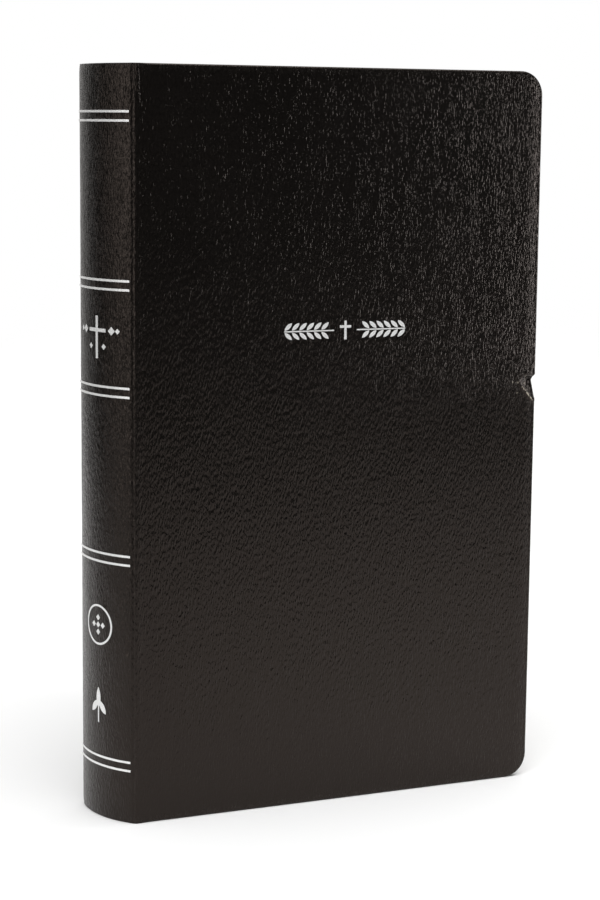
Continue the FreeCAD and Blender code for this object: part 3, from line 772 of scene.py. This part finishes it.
def case_leather(name, side, columns, rows):
    """The leather of one cover and its share of the spine: face, rolled edges and turn-ins."""
    plate = Plate(columns, WIDTH, 0.0, HEIGHT, COVER_CORNER, rows)
    round_edge = half_thickness(plate.path[:, 0])
    toward = plate.path[:, 2:]
    first = plate.inset(round_edge)

    def nicked(points, inset):
        if side == "front":
            fade = np.clip(1 - inset / NICK_FADE, 0, 1) * (toward[:, 0] > 0.99)
            points = points - np.column_stack([nick(points[:, 1]) * fade, 0 * fade])
        return points

    def place(points, depth):
        flat = case_point(side, points[..., 0], depth)
        return to_frame(np.concatenate([flat, points[..., 1:]], -1))

    def sheet(points):
        u = points[..., 0]
        return np.stack([u if side == "front" else -SPINE_ARC - u, points[..., 1]], -1)

    leather_case = Patchwork()
    edge = nicked(first, round_edge)
    face = plate.fill(edge)
    u, v = face[..., 0], face[..., 1]
    leather_case.grid(place(face, -relief(side, u, v)), sheet(face), wear=face_wear(side, u, v))

    rows_out, rows_sheet, rows_wear = [], [], []
    high = relief(side, edge[:, 0], edge[:, 1])
    for angle in np.linspace(0, math.pi, ROLL_STEPS):
        level = abs(math.cos(angle)) ** ROLL_POWER * (1 if angle < math.pi / 2 else -1)
        inset = round_edge * (1 - abs(math.sin(angle)) ** ROLL_POWER)
        depth = round_edge * (1 - level)
        points = nicked(plate.inset(inset), inset)
        rows_out.append(place(points, depth - high * (1 - angle / math.pi)))
        rows_sheet.append(sheet(first + toward * (round_edge * angle)[:, None]))
        rows_wear.append(np.full(len(points), 0.35 + 0.65 * math.sin(angle)))
    travelled = round_edge * math.pi
    for share, thick in TURN_IN_ROWS:
        inset = round_edge + (TURN_IN - round_edge) * share
        points = nicked(plate.inset(inset), inset)
        rows_out.append(place(points, round_edge * 2 - thick))
        reach = (travelled + inset - round_edge + thick)[:, None]
        rows_sheet.append(sheet(first + toward * reach))
        rows_wear.append(np.zeros(len(points)))
    leather_case.grid(np.stack(rows_out), np.stack(rows_sheet), wear=np.stack(rows_wear))
    return leather_case.build(name, [leather], sharp=50)


def cover_board(name, side, body, node):
    """The stiff board inside a cover, following the dents of the leather."""
    columns = steps((BOARD_START, WIDTH - COVER_CORNER, 2.0))
    rows = steps((COVER_CORNER, HEIGHT - COVER_CORNER, 2.0))
    plate = Plate(columns, WIDTH - BOARD_INSET, BOARD_INSET, HEIGHT - BOARD_INSET,
                  COVER_CORNER - BOARD_INSET, rows)
    face = plate.fill(plate.inset(0.0))
    u, v = face[..., 0], face[..., 1]
    sink = np.maximum(-relief(side, u, v), 0)
    board = Patchwork()
    layers = []
    for depth in (BOARD_TOP + sink, BOARD_UNDER + 0 * sink):
        flat = case_point(side, u, depth)
        layers.append(to_frame(np.concatenate([flat, v[..., None]], -1)))
    board.grid(layers[0], face)
    board.grid(layers[1], face, flip=True)
    rim = [np.concatenate([layer[0], layer[1:, -1], layer[-1, :-1][::-1], layer[:-1, 0][::-1]])
           for layer in layers]
    board.grid(np.stack(rim), np.zeros((2, len(rim[0]), 2)))
    piece = board.build(name, [card], sharp=40, outward=True)
    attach(piece, body)
    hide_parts(node)


cover_board("front_cover_board", "front", "front_cover", "front_board")
cover_board("back_cover_board", "back", "back_cover", "back_board")

# Front and back leather meet on the spine, SEAM mm from the back joint. The mesh is finer at the
# joints and round the nick.
SEAM = 2.2
JOINT_ZONE = 1.8
EDGE_ZONE = 10
NICK_ZONE = (NICK_FOOT - 2, NICK_TOP + 2.4)
front_columns = steps((SEAM - SPINE_ARC, -JOINT_ZONE, 0.62), (-JOINT_ZONE, JOINT_ZONE, 0.18),
                      (JOINT_ZONE, WIDTH - EDGE_ZONE, 0.62),
                      (WIDTH - EDGE_ZONE, WIDTH - COVER_CORNER, 0.35))
front_rows = steps((COVER_CORNER, NICK_ZONE[0], 1.05), (*NICK_ZONE, 0.36),
                   (NICK_ZONE[1], HEIGHT - COVER_CORNER, 1.05))
back_columns = steps((-SEAM, JOINT_ZONE, 0.2), (JOINT_ZONE, WIDTH - COVER_CORNER, 0.75))
back_rows = steps((COVER_CORNER, HEIGHT - COVER_CORNER, 1.2))

MIDDLE = HEIGHT / 2


def joint_line(side):
    """Two points across a joint: on the cover, then on the spine."""
    ends = case_point(side, np.array([1.2, -1.2]), np.zeros(2))
    return [tuple(to_frame([*end, MIDDLE])) for end in ends]


front_leather = case_leather("front_and_spine_leather", "front", front_columns, front_rows)
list(joint_line("front"))
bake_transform(front_leather)
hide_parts("front_cover_skin", "spine_cover_skin")

back_leather = case_leather("back_leather", "back", back_columns, back_rows)
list(joint_line("back"))
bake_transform(back_leather)
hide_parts("back_cover_skin")


# ------------ endpapers and leaves

def fold_at(low, high):
    """How far the folds of the text block stand from the joints' plane, between two depths."""
    reach = max(abs(low - CHORD / 2), abs(high - CHORD / 2))
    return SPINE_CENTRE[0] - math.sqrt(FOLD_RADIUS ** 2 - reach ** 2)


# The mesh of a pasted sheet is finer where it steps off the turned-in leather.
STEP_INSIDE = TURN_IN + 3
STEP_OUTSIDE = TURN_IN - 2


def pasted_endpaper(name, side, node, fold):
    """The pasted half of an endpaper: its hinge to the text block, and the sheet on the board."""
    across = steps((BOARD_START, 20.0, 1.0), (20.0, WIDTH - STEP_INSIDE, 5.0),
                   (WIDTH - STEP_INSIDE, WIDTH - STEP_OUTSIDE, 0.4),
                   (WIDTH - STEP_OUTSIDE, WIDTH - PASTE_MARGIN, 1.2))
    up = steps((PASTE_MARGIN, STEP_OUTSIDE, 1.6), (STEP_OUTSIDE, STEP_INSIDE, 0.4),
               (STEP_INSIDE, HEIGHT - STEP_INSIDE, 5.0),
               (HEIGHT - STEP_INSIDE, HEIGHT - STEP_OUTSIDE, 0.4),
               (HEIGHT - STEP_OUTSIDE, HEIGHT - PASTE_MARGIN, 1.6))
    u, v = np.meshgrid(across, up)
    inside = np.minimum(np.minimum(v, HEIGHT - v), WIDTH - u) - TURN_IN
    sunk = PASTE_SINK * smooth(inside / 2.2 + 0.3)
    ripple = 0.03 * noise(u / 17, v / 23, 21 if side == "front" else 22)
    depth = PASTE_DEPTH - sunk - ripple
    top, under = (case_point(side, u, depth - thick) for thick in (0.0, PASTE_THICK))
    sheet = np.stack([u, v], -1)
    height = v[..., None]

    def three_sides(grid):
        return np.concatenate([grid[0], grid[1:, -1], grid[-1, :-1][::-1]])

    paste = Patchwork()
    paste.grid(to_frame(np.concatenate([top, height], -1)), sheet)
    rim = [three_sides(np.concatenate([flat, height], -1)) for flat in (top, under)]
    rim_sheet = three_sides(sheet)
    paste.grid(to_frame(np.stack(rim)), np.stack([rim_sheet, rim_sheet + 0.1]))

    share = np.linspace(1, 0, 9)[None, :, None]
    bow = PASTE_BOW * np.sin(np.pi * share) * -SIDES[side]["out"]
    strip = top[:, :1] * share + np.array(fold) * (1 - share) + bow
    level = np.broadcast_to(v[:, :1, None], (*strip.shape[:2], 1))
    strip_sheet = np.concatenate([BOARD_START - 3 * (1 - share) + 0 * level, level], -1)
    paste.grid(to_frame(np.concatenate([strip, level], -1)), strip_sheet)
    piece = paste.build(name, [end_face], sharp=50)
    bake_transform(piece)
    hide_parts(node)


# Where leaves and sections lie in the thickness of the book, as in the CAD.
FLY_LOW = 2.55
LEAF_THICK = 0.2
TITLE_LOW = 2.95
SECTION_LOW = 3.35
SECTION_THICK = 1.204
SECTION_PITCH = 1.354
MAP_LOW = CHORD - 3.75
MAP_HIGH = CHORD - 2.95
# Sections swell a little, so that the block looks full.
SECTION_SWELL = 0.055
# How much of the cover's swing each turning leaf and section takes, and leaves in a section.
FLY_FAN = 0.75
TITLE_FAN = 0.5
SECTION_FAN = {1: 0.32, 2: 0.2, 3: 0.12, 4: 0.06}
SECTION_LEAVES = 9
MAP_LEAVES = 5

fold_place = fold_at(FLY_LOW, FLY_LOW)
pasted_endpaper("front_pasted_endpaper", "front", "front_pastedown",
                (fold_place, FLY_LOW))
pasted_endpaper("back_pasted_endpaper", "back", "back_pastedown",
                (fold_place, CHORD - FLY_LOW))


def leaf_stack(name, node, body, low, high, turn, faces, leaves, seed):
    """One leaf or folded section: two page faces, cut edges showing their leaves, a round fold."""
    random = np.random.default_rng(seed)
    start = fold_at(low, high)
    width = start + PAGE_WIDTH
    columns = steps((start, start + GUTTER + 2, 1.25),
                    (start + GUTTER + 2, width - PAGE_CORNER, 7.0))
    rows = steps((PAGE_LOW + PAGE_CORNER, PAGE_HIGH - PAGE_CORNER, 5.5))
    plate = Plate(columns, width, PAGE_LOW, PAGE_HIGH, PAGE_CORNER, rows, corner_steps=4)

    def place(points, depth):
        swing = turn * smooth((points[..., 0] - start) / GUTTER)
        wave = LEAF_WAVE * noise(points[..., 0] / 31, points[..., 1] / 44, seed + 100)
        wave = wave * smooth((points[..., 0] - start) / 20)
        depth = np.broadcast_to(depth, points.shape[:-1]) + wave
        solid = np.stack([points[..., 0], depth, points[..., 1]], -1)
        return to_frame(solid, swing)

    stack = Patchwork()
    face = plate.fill(plate.inset(0.0))
    stack.grid(place(face, low), face, look=0)
    stack.grid(place(face, high), face, look=1, flip=True)
    count = 2 * leaves + 1
    depths = np.linspace(low, high, count)
    rim, rim_sheet = [], []
    travel = np.concatenate([[0], np.cumsum(np.hypot(*np.diff(plate.path[:, :2], axis=0).T))])
    for index, depth in enumerate(depths):
        inset = 0.0
        if 0 < index < count - 1:
            inset = random.uniform(0.0, LEAF_STRAY) + (LEAF_STEP if index % 2 == 0 else 0.0)
        rim.append(place(plate.inset(inset), depth))
        rim_sheet.append(np.column_stack([np.full(len(travel), depth), travel]))
    stack.grid(np.stack(rim), np.stack(rim_sheet), look=2)
    folds, fold_sheet = [], []
    level = face[:, 0, 1]
    half = (high - low) / 2
    for angle in np.linspace(0, math.pi, FOLD_STEPS):
        points = np.stack([start - FOLD_ROUND * half * math.sin(angle) + 0 * level, level], -1)
        folds.append(place(points, low + half - half * math.cos(angle)))
        fold_sheet.append(np.stack([half * angle + 0 * level, level], -1))
    stack.grid(np.stack(folds), np.stack(fold_sheet), look=2)
    piece = stack.build(name, faces, sharp=40, outward=True)
    if body == "text_block":
        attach(piece, body)
    else:
        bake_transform(piece)
    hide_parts(node)


leaf_stack("front_free_endpaper", "front_flyleaf", "front_flyleaf", FLY_LOW, FLY_LOW + LEAF_THICK,
           FLY_FAN * OPENING, [end_face, end_face, end_face], 1, 31)
leaf_stack("presentation_leaf", "title_leaf", "title_leaf", TITLE_LOW, TITLE_LOW + LEAF_THICK,
           TITLE_FAN * OPENING, [title_face, end_face, end_face], 1, 32)
for number in range(1, 15):
    node = "section_%02d" % number
    low = SECTION_LOW + SECTION_PITCH * (number - 1)
    body = node if number < 5 or number == 14 else "text_block"
    leaf_stack("pages_%02d" % number, node, body, low - SECTION_SWELL,
               low + SECTION_THICK + SECTION_SWELL, SECTION_FAN.get(number, 0.0) * OPENING,
               [page_face, page_face, page_edge], SECTION_LEAVES, 40 + number)
leaf_stack("map_leaves", "map_section", "map_section", MAP_LOW, MAP_HIGH, 0.0,
           [map_face, map_face, page_edge], MAP_LEAVES, 61)
leaf_stack("back_free_endpaper", "back_flyleaf", "back_flyleaf", CHORD - FLY_LOW - LEAF_THICK,
           CHORD - FLY_LOW, 0.0, [end_face, end_face, end_face], 1, 62)


# ------------ head and tail bands

BEAD = 0.75
LAP_PITCH = 0.6
BAND_STEPS = 260
# How far the band stops short of the text block's sides, in radians.
BAND_SHORT = 0.004


def stitched_band(name, node, up):
    """A round bead wound with thread over a flat tape, along the folds at head or tail."""
    low, high = closed_box(node)
    reach = FOLD_RADIUS + BEAD * 0.98
    half = math.asin((high[1] - low[1]) / 2 / reach) - BAND_SHORT
    level = high[2] - BEAD if up > 0 else low[2] + BEAD
    along = np.linspace(math.pi - half, math.pi + half, BAND_STEPS)
    length = (along - along[0]) * reach

    def arc(angle, distance, height):
        return to_frame(np.stack([SPINE_CENTRE[0] + distance * np.cos(angle),
                                  SPINE_CENTRE[1] + distance * np.sin(angle), height], -1))

    work = Patchwork()
    a, b = np.meshgrid(along, np.linspace(0, 2 * math.pi, 13), indexing="ij")
    lap = np.abs(np.sin(math.pi * (length[:, None] / LAP_PITCH + b / (2 * math.pi))))
    close = np.clip(np.minimum(length, length[-1] - length)[:, None] / BEAD, 0.0, 1.0)
    taper = np.sqrt(close * (2 - close))
    radius = BEAD * (0.86 + 0.13 * lap) * np.maximum(taper, 0.02)
    bead = arc(a, reach + radius * np.cos(b), level + radius * np.sin(b))
    work.grid(bead, np.stack([length[:, None] + 0 * b, b], -1))

    levels = np.linspace(level, low[2] if up > 0 else high[2], 6)[:, None]
    spread, height = np.broadcast_arrays(length, levels)
    for offset in (0.3, 0.02):
        tape = arc(along + 0 * levels, FOLD_RADIUS + offset, height)
        work.grid(tape, np.stack([spread, height], -1))
    piece = work.build(name, [band])
    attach(piece, "text_block")
    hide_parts(node)


stitched_band("stitched_headband", "headband", 1)
stitched_band("stitched_tailband", "tailband", -1)

# ------------ CAD pieces that stay

KEPT = {
    "spine_inlay": card,
    "spine_mull": mull, "spine_liner": lining, "sewing_thread": thread,
    "front_foil_ornament": foil, "spine_foil_rules": foil, "spine_foil_cross": foil,
    "spine_foil_emblem": foil, "spine_foil_leaf": foil,
}
for node, material in KEPT.items():
    mesh = frame["nodes"][node].data
    mesh.materials.clear()
    mesh.materials.append(material)

# ------------ stage, lights and camera

# From here on places are in metres. The floor is whole inside FLOOR_CLEAR and gone at FLOOR_END.
FLOOR_MIDDLE = (0.46, 0.12)
FLOOR_CLEAR = 0.40
FLOOR_END = 1.15
FLOOR_WHITE = (0.88, 0.88, 0.88, 1)

# The room as the book sees it: an even level, and two soft glows. Each glow has a direction, the
# cosines where it starts and where it is full, and its level.
ROOM_LEVEL = 0.044
ROOM_COLOUR = (1.0, 0.985, 0.965, 1)
GLOWS = [
    ((0.65, 0.76, 0.0), 0.45, 0.95, 0.75),
    ((-0.995, 0.07, 0.07), 0.93, 0.99, 2.2),
]


def stage_floor():
    """A round pale floor whose rim fades out well away from the book."""
    mesh = bpy.data.meshes.new("floor")
    turns = np.linspace(0, 2 * math.pi, 97)[:-1]
    rim = np.stack([np.cos(turns), np.sin(turns), 0 * turns], -1) * FLOOR_END * 1.02
    mesh.from_pydata(rim.tolist(), [], [list(range(len(rim)))])
    look = Look("pale_floor")
    look.finish(base_color=FLOOR_WHITE, roughness=0.9, specular_ior_level=0.0)
    place = look.node("TexCoord").outputs["Object"]
    away = look.node("VectorMath", {0: place}, operation="LENGTH").outputs["Value"]
    clear = look.between(away, FLOOR_END, FLOOR_CLEAR)
    seen = look.node("MixShader", {0: clear, 1: look.node("BsdfTransparent").outputs[0],
                                   2: look.shader.outputs[0]})
    look.feed(look.output.inputs[0], seen.outputs[0])
    mesh.materials.append(look.material)
    floor = bpy.data.objects.new("floor", mesh)
    floor.location = (*FLOOR_MIDDLE, 0)
    scene.collection.objects.link(floor)


def sky_light(power, spread, lean_x, lean_y):
    """Even light from above, so that the floor is the same all over; angles in degrees."""
    data = bpy.data.lights.new("sky", "SUN")
    data.energy = power
    data.angle = math.radians(spread)
    light = bpy.data.objects.new("sky", data)
    light.rotation_euler = (math.radians(lean_x), math.radians(lean_y), 0)
    scene.collection.objects.link(light)


def softbox(name, azimuth, elevation, distance, size, power, target=(0, 0, 0.11)):
    """An area light; azimuth 0 stands in front of the book (-Y) and 90 at its right (+X)."""
    data = bpy.data.lights.new(name, "AREA")
    data.shape = "RECTANGLE"
    data.size, data.size_y = size
    data.energy = power
    light = bpy.data.objects.new(name, data)
    a, e = math.radians(azimuth), math.radians(elevation)
    toward = np.array([math.sin(a) * math.cos(e), -math.cos(a) * math.cos(e), math.sin(e)])
    light.location = np.array(target) + toward * distance
    light.rotation_mode = "QUATERNION"
    light.rotation_quaternion = Vector(toward).to_track_quat("Z", "Y")
    light.visible_camera = False
    scene.collection.objects.link(light)


def studio_world():
    """White to the camera; to the book a dim even room with two glows."""
    world = bpy.data.worlds.new("studio")
    world.use_nodes = True
    tree = world.node_tree
    tree.nodes.clear()

    def add(kind, **settings):
        node = tree.nodes.new("ShaderNode" + kind)
        for key, value in settings.items():
            setattr(node, key, value)
        return node

    place = add("TexCoord").outputs["Generated"]

    def glow(direction, start, stop, level):
        dot = add("VectorMath", operation="DOT_PRODUCT")
        tree.links.new(place, dot.inputs[0])
        dot.inputs[1].default_value = direction
        ramp = add("MapRange", interpolation_type="SMOOTHSTEP")
        tree.links.new(dot.outputs["Value"], ramp.inputs["Value"])
        ramp.inputs["From Min"].default_value = start
        ramp.inputs["From Max"].default_value = stop
        ramp.inputs["To Max"].default_value = level
        return ramp.outputs[0]

    lift = add("Value")
    lift.outputs[0].default_value = ROOM_LEVEL
    total = lift.outputs[0]
    for facts in GLOWS:
        joined = add("Math", operation="ADD")
        tree.links.new(total, joined.inputs[0])
        tree.links.new(glow(*facts), joined.inputs[1])
        total = joined.outputs[0]
    room = add("Background")
    room.inputs["Color"].default_value = ROOM_COLOUR
    tree.links.new(total, room.inputs["Strength"])
    seen = add("Background")
    seen.inputs["Color"].default_value = (1, 1, 1, 1)
    mix = add("MixShader")
    tree.links.new(add("LightPath").outputs["Is Camera Ray"], mix.inputs[0])
    tree.links.new(room.outputs[0], mix.inputs[1])
    tree.links.new(seen.outputs[0], mix.inputs[2])
    tree.links.new(mix.outputs[0], add("OutputWorld").inputs[0])
    scene.world = world


studio_world()
stage_floor()
sky_light(3.5, 70, 10, -6)
# Azimuth, elevation, distance, size and power.
softbox("right_key", 52, 0, 0.085, (0.022, 0.12), 0.078, target=(0.065, -0.034, 0.170))
softbox("left_fill", -55, 52, 1.3, (0.5, 0.5), 1.5)

# Found by matching the corners of the cover and spine to the photograph.
CAMERA_PLACE = np.array([-410.1, -468.8, 198.5]) * MM
CAMERA_ANGLES = (40.74, 8.67, 0.56)
LENS = 85.1


def photo_camera():
    """The camera: turned to the right, then down, then rolled, by the angles in degrees."""
    yaw, pitch, roll = (math.radians(angle) for angle in CAMERA_ANGLES)
    ahead = np.array([math.sin(yaw) * math.cos(pitch), math.cos(yaw) * math.cos(pitch),
                      -math.sin(pitch)])
    right = np.array([math.cos(yaw), -math.sin(yaw), 0.0])
    up = np.cross(right, ahead)
    side = math.cos(roll) * right + math.sin(roll) * up
    top = math.cos(roll) * up - math.sin(roll) * right
    data = bpy.data.cameras.new("camera")
    data.lens = LENS
    camera = bpy.data.objects.new("camera", data)
    matrix = Matrix.Identity(4)
    for column, vector in enumerate((side, top, -ahead, CAMERA_PLACE)):
        for row in range(3):
            matrix[row][column] = float(vector[row])
    camera.matrix_world = matrix
    scene.collection.objects.link(camera)
    scene.camera = camera


photo_camera()
scene.view_settings.view_transform = "Standard"
